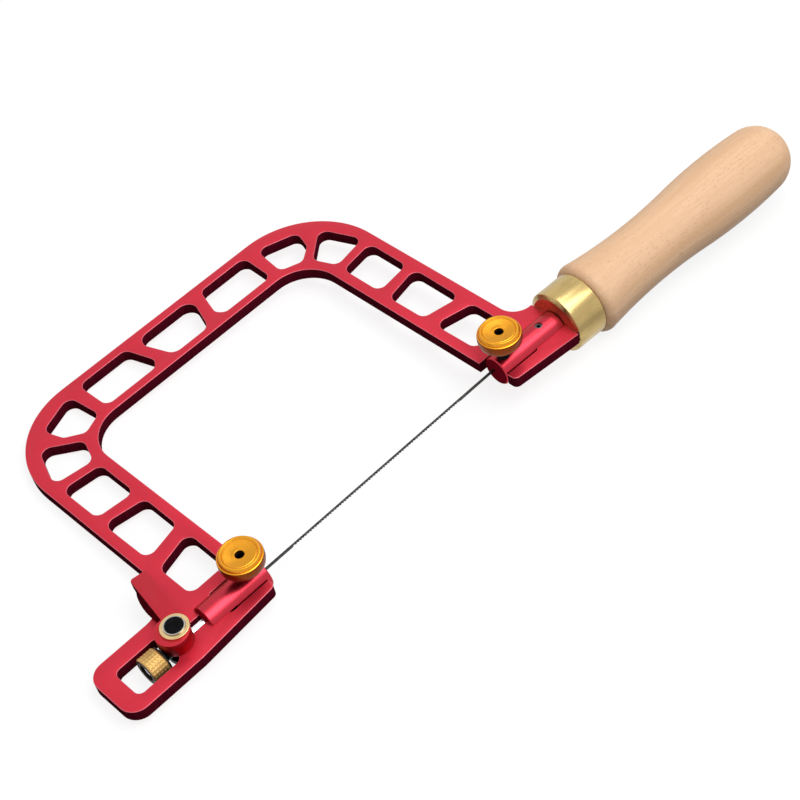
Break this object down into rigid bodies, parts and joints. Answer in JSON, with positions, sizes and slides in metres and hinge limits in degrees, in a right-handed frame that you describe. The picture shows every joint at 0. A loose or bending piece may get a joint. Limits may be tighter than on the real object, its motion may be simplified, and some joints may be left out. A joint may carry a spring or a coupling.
{
  "type": "fret saw",
  "caption": "Fret saw: windowed plate frame, turned wooden handle, blade clamps with thumb knobs, and a cam lever with a draw nut that tightens the blade.",
  "frame": {"origin": "middle of the throat on the blade, half way between the two arms and at the plate's mid-plane", "axes": "+X along the blade toward the handle, +Y across the throat toward the spine, +Z out of the plate toward the thumb knobs"},
  "size_m": [0.3419, 0.1465, 0.0337],
  "materials": {
    "anodised_plate": "red anodised, satin",
    "anodised_bar": "red anodised, turned",
    "anodised_lever": "red anodised, satin",
    "gold_knob": "gold anodised, turned",
    "nut_brass": "knurled",
    "bush_brass": "turned",
    "ferrule_brass": "lightly brushed",
    "handle_wood": "clear varnish",
    "blade_steel": "hardened",
    "black_steel": "blackened",
    "bright_steel": "bright"
  },
  "bodies": {
    "saw": {"frame": "anodised_plate", "ferrule": "ferrule_brass", "handle": "handle_wood", "rear_clamp_bar": "anodised_bar", "rear_set_screw": "black_steel", "blade": "blade_steel", "pivot_post": "black_steel", "retaining_ring": "bright_steel"},
    "cam": {"tension_lever": "anodised_lever", "lever_bush": "bush_brass"},
    "cam_washer": {"thrust_washer": "black_steel"},
    "adjuster": {"tension_nut": "nut_brass"},
    "front_carriage": {"front_clamp_bar": "anodised_bar", "draw_rod": "bright_steel"},
    "front_pad": {"front_pressure_pad": "bright_steel"},
    "front_screw": {"front_clamp_screw": "black_steel", "front_thumb_knob": "gold_knob"},
    "rear_pad": {"rear_pressure_pad": "bright_steel"},
    "rear_screw": {"rear_clamp_screw": "black_steel", "rear_thumb_knob": "gold_knob"}
  },
  "joints": [
    {"name": "lever_swing", "type": "hinge", "parent": "saw", "child": "cam", "pos_m": [-0.093, 0, 0.00573], "axis": [0, 0, 1], "range_deg": [0, 50]},
    {"name": "cam_follow", "type": "slide", "parent": "saw", "child": "cam_washer", "axis": [1, 0, 0], "range_m": [0, 0.00054]},
    {"name": "nut_turn", "type": "hinge", "parent": "cam_washer", "child": "adjuster", "pos_m": [-0.10485, 0, 0], "axis": [1, 0, 0], "range_deg": [0, 1440]},
    {"name": "carriage_draw", "type": "slide", "parent": "cam_washer", "child": "front_carriage", "axis": [1, 0, 0], "range_m": [-0.00281, 0]},
    {"name": "front_pad_lift", "type": "slide", "parent": "front_carriage", "child": "front_pad", "axis": [0, 0, 1], "range_m": [0, 0.00161]},
    {"name": "front_screw_turn", "type": "hinge", "parent": "front_pad", "child": "front_screw", "pos_m": [-0.0618, 0, 0.014], "axis": [0, 0, 1], "range_deg": [0, 720]},
    {"name": "rear_pad_lift", "type": "slide", "parent": "saw", "child": "rear_pad", "axis": [0, 0, 1], "range_m": [0, 0.00161]},
    {"name": "rear_screw_turn", "type": "hinge", "parent": "rear_pad", "child": "rear_screw", "pos_m": [0.0644, -0.00157, 0.014], "axis": [0, 0, 1], "range_deg": [0, 720]}
  ],
  "couplings": [
    {"joint": "cam_follow", "follows": "lever_swing", "m_per_rad": 0.000614},
    {"joint": "carriage_draw", "follows": "nut_turn", "m_per_rad": -0.00011141},
    {"joint": "front_pad_lift", "follows": "front_screw_turn", "m_per_rad": 0.00012732},
    {"joint": "rear_pad_lift", "follows": "rear_screw_turn", "m_per_rad": 0.00012732}
  ]
}
